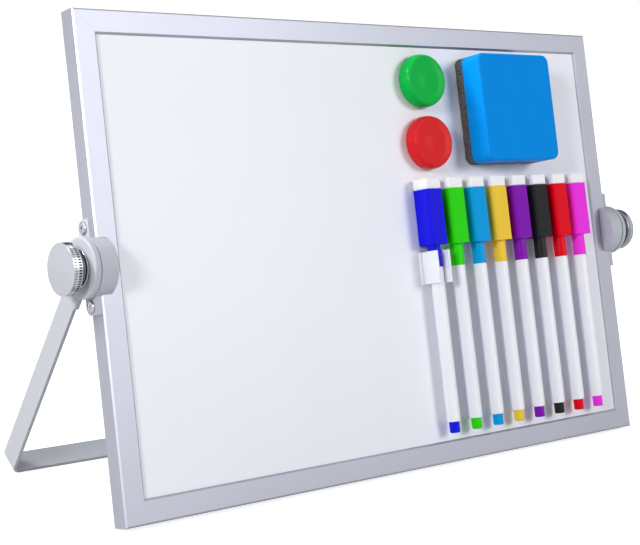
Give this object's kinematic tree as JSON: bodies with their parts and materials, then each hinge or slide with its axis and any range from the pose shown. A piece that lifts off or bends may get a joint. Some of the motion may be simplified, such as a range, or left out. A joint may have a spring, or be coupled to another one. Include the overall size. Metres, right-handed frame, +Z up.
{
  "type": "desktop whiteboard easel",
  "caption": "Two-sided magnetic whiteboard that tilts on a U-shaped bar stand with clamp knobs, with magnets, an eraser, a pen clip and capped markers on its face.",
  "frame": {"origin": "on the desk under the middle of the object's bounding box", "axes": "+X along the pivot axis and the board's width, +Y from the front of the board to the stand's foot, +Z up"},
  "size_m": [0.3334, 0.0912, 0.1962],
  "materials": {
    "frame_aluminium": "satin",
    "panel_enamel": "gloss",
    "core_board": "matte",
    "key_plastic": "matte",
    "pivot_plastic": "satin",
    "stand_paint": "satin",
    "knob_metal": "satin",
    "chrome": "polished",
    "insert_brass": "satin",
    "magnet_green": "gloss",
    "magnet_red": "gloss",
    "magnet_iron": "matte",
    "eraser_blue": "satin",
    "eraser_felt": "felt",
    "white_plastic": "gloss",
    "pad_felt": "felt",
    "ink_blue": "gloss",
    "ink_green": "gloss",
    "ink_cyan": "gloss",
    "ink_yellow": "gloss",
    "ink_purple": "gloss",
    "ink_black": "gloss",
    "ink_red": "gloss",
    "ink_magenta": "gloss"
  },
  "bodies": {
    "board": {"frame_rail_left": "frame_aluminium", "frame_rail_right": "frame_aluminium", "frame_rail_top": "frame_aluminium", "frame_rail_bottom": "frame_aluminium", "corner_keys": "key_plastic", "front_sheet": "panel_enamel", "core_board": "core_board", "back_sheet": "panel_enamel", "saddle_left": "pivot_plastic", "saddle_right": "pivot_plastic", "pivot_inserts": "insert_brass", "ear_screws": "chrome"},
    "stand": {"stand_bar": "stand_paint", "hub_left": "pivot_plastic", "hub_right": "pivot_plastic"},
    "collar_left": {"collar_left": "chrome"},
    "collar_right": {"collar_right": "chrome"},
    "knob_left": {"knob_left": "knob_metal"},
    "knob_right": {"knob_right": "knob_metal"},
    "magnet_green": {"magnet_green": "magnet_green", "magnet_green_disc": "magnet_iron"},
    "magnet_red": {"magnet_red": "magnet_red", "magnet_red_disc": "magnet_iron"},
    "eraser": {"eraser_block": "eraser_blue", "eraser_felt": "eraser_felt", "eraser_magnet": "magnet_iron"},
    "clip": {"pen_clip": "white_plastic", "clip_magnet": "magnet_iron"},
    "cap_blue": {"marker_blue_cap": "ink_blue", "marker_blue_pad": "pad_felt"},
    "barrel_blue": {"marker_blue_barrel": "white_plastic", "marker_blue_plug": "ink_blue"},
    "cap_green": {"marker_green_cap": "ink_green", "marker_green_pad": "pad_felt"},
    "barrel_green": {"marker_green_barrel": "white_plastic", "marker_green_plug": "ink_green"},
    "cap_cyan": {"marker_cyan_cap": "ink_cyan", "marker_cyan_pad": "pad_felt"},
    "barrel_cyan": {"marker_cyan_barrel": "white_plastic", "marker_cyan_plug": "ink_cyan"},
    "cap_yellow": {"marker_yellow_cap": "ink_yellow", "marker_yellow_pad": "pad_felt"},
    "barrel_yellow": {"marker_yellow_barrel": "white_plastic", "marker_yellow_plug": "ink_yellow"},
    "cap_purple": {"marker_purple_cap": "ink_purple", "marker_purple_pad": "pad_felt"},
    "barrel_purple": {"marker_purple_barrel": "white_plastic", "marker_purple_plug": "ink_purple"},
    "cap_black": {"marker_black_cap": "ink_black", "marker_black_pad": "pad_felt"},
    "barrel_black": {"marker_black_barrel": "white_plastic", "marker_black_plug": "ink_black"},
    "cap_red": {"marker_red_cap": "ink_red", "marker_red_pad": "pad_felt"},
    "barrel_red": {"marker_red_barrel": "white_plastic", "marker_red_plug": "ink_red"},
    "cap_magenta": {"marker_magenta_cap": "ink_magenta", "marker_magenta_pad": "pad_felt"},
    "barrel_magenta": {"marker_magenta_barrel": "white_plastic", "marker_magenta_plug": "ink_magenta"}
  },
  "joints": [
    {"name": "stand_tilt", "type": "hinge", "parent": "board", "child": "stand", "pos_m": [0, -0.00878, 0.09809], "axis": [1, 0, 0], "continuous": true},
    {"name": "collar_left_slide", "type": "slide", "parent": "board", "child": "collar_left", "axis": [-1, 0, 0], "range_m": [0, 0.0016]},
    {"name": "knob_left_turn", "type": "hinge", "parent": "collar_left", "child": "knob_left", "pos_m": [0, -0.00878, 0.09809], "axis": [-1, 0, 0], "range_deg": [0, 720]},
    {"name": "collar_right_slide", "type": "slide", "parent": "board", "child": "collar_right", "axis": [1, 0, 0], "range_m": [0, 0.0016]},
    {"name": "knob_right_turn", "type": "hinge", "parent": "collar_right", "child": "knob_right", "pos_m": [0, -0.00878, 0.09809], "axis": [1, 0, 0], "range_deg": [0, 720]},
    {"name": "magnet_green_lift", "type": "slide", "parent": "board", "child": "magnet_green", "axis": [0, -0.9538, 0.3004], "range_m": [0, 0.02]},
    {"name": "magnet_red_lift", "type": "slide", "parent": "board", "child": "magnet_red", "axis": [0, -0.9538, 0.3004], "range_m": [0, 0.02]},
    {"name": "eraser_lift", "type": "slide", "parent": "board", "child": "eraser", "axis": [0, -0.9538, 0.3004], "range_m": [0, 0.03]},
    {"name": "clip_lift", "type": "slide", "parent": "board", "child": "clip", "axis": [0, -0.9538, 0.3004], "range_m": [0, 0.02]},
    {"name": "marker_blue_lift", "type": "slide", "parent": "clip", "child": "cap_blue", "axis": [0, -0.9538, 0.3004], "range_m": [0, 0.025]},
    {"name": "marker_blue_draw", "type": "slide", "parent": "cap_blue", "child": "barrel_blue", "axis": [0, -0.3004, -0.9538], "range_m": [0, 0.016]},
    {"name": "marker_green_lift", "type": "slide", "parent": "board", "child": "cap_green", "axis": [0, -0.9538, 0.3004], "range_m": [0, 0.025]},
    {"name": "marker_green_draw", "type": "slide", "parent": "cap_green", "child": "barrel_green", "axis": [0, -0.3004, -0.9538], "range_m": [0, 0.016]},
    {"name": "marker_cyan_lift", "type": "slide", "parent": "board", "child": "cap_cyan", "axis": [0, -0.9538, 0.3004], "range_m": [0, 0.025]},
    {"name": "marker_cyan_draw", "type": "slide", "parent": "cap_cyan", "child": "barrel_cyan", "axis": [0, -0.3004, -0.9538], "range_m": [0, 0.016]},
    {"name": "marker_yellow_lift", "type": "slide", "parent": "board", "child": "cap_yellow", "axis": [0, -0.9538, 0.3004], "range_m": [0, 0.025]},
    {"name": "marker_yellow_draw", "type": "slide", "parent": "cap_yellow", "child": "barrel_yellow", "axis": [0, -0.3004, -0.9538], "range_m": [0, 0.016]},
    {"name": "marker_purple_lift", "type": "slide", "parent": "board", "child": "cap_purple", "axis": [0, -0.9538, 0.3004], "range_m": [0, 0.025]},
    {"name": "marker_purple_draw", "type": "slide", "parent": "cap_purple", "child": "barrel_purple", "axis": [0, -0.3004, -0.9538], "range_m": [0, 0.016]},
    {"name": "marker_black_lift", "type": "slide", "parent": "board", "child": "cap_black", "axis": [0, -0.9538, 0.3004], "range_m": [0, 0.025]},
    {"name": "marker_black_draw", "type": "slide", "parent": "cap_black", "child": "barrel_black", "axis": [0, -0.3004, -0.9538], "range_m": [0, 0.016]},
    {"name": "marker_red_lift", "type": "slide", "parent": "board", "child": "cap_red", "axis": [0, -0.9538, 0.3004], "range_m": [0, 0.025]},
    {"name": "marker_red_draw", "type": "slide", "parent": "cap_red", "child": "barrel_red", "axis": [0, -0.3004, -0.9538], "range_m": [0, 0.016]},
    {"name": "marker_magenta_lift", "type": "slide", "parent": "board", "child": "cap_magenta", "axis": [0, -0.9538, 0.3004], "range_m": [0, 0.025]},
    {"name": "marker_magenta_draw", "type": "slide", "parent": "cap_magenta", "child": "barrel_magenta", "axis": [0, -0.3004, -0.9538], "range_m": [0, 0.016]}
  ],
  "couplings": [
    {"joint": "knob_left_turn", "follows": "collar_left_slide", "rad_per_m": 7854},
    {"joint": "knob_right_turn", "follows": "collar_right_slide", "rad_per_m": 7854}
  ]
}
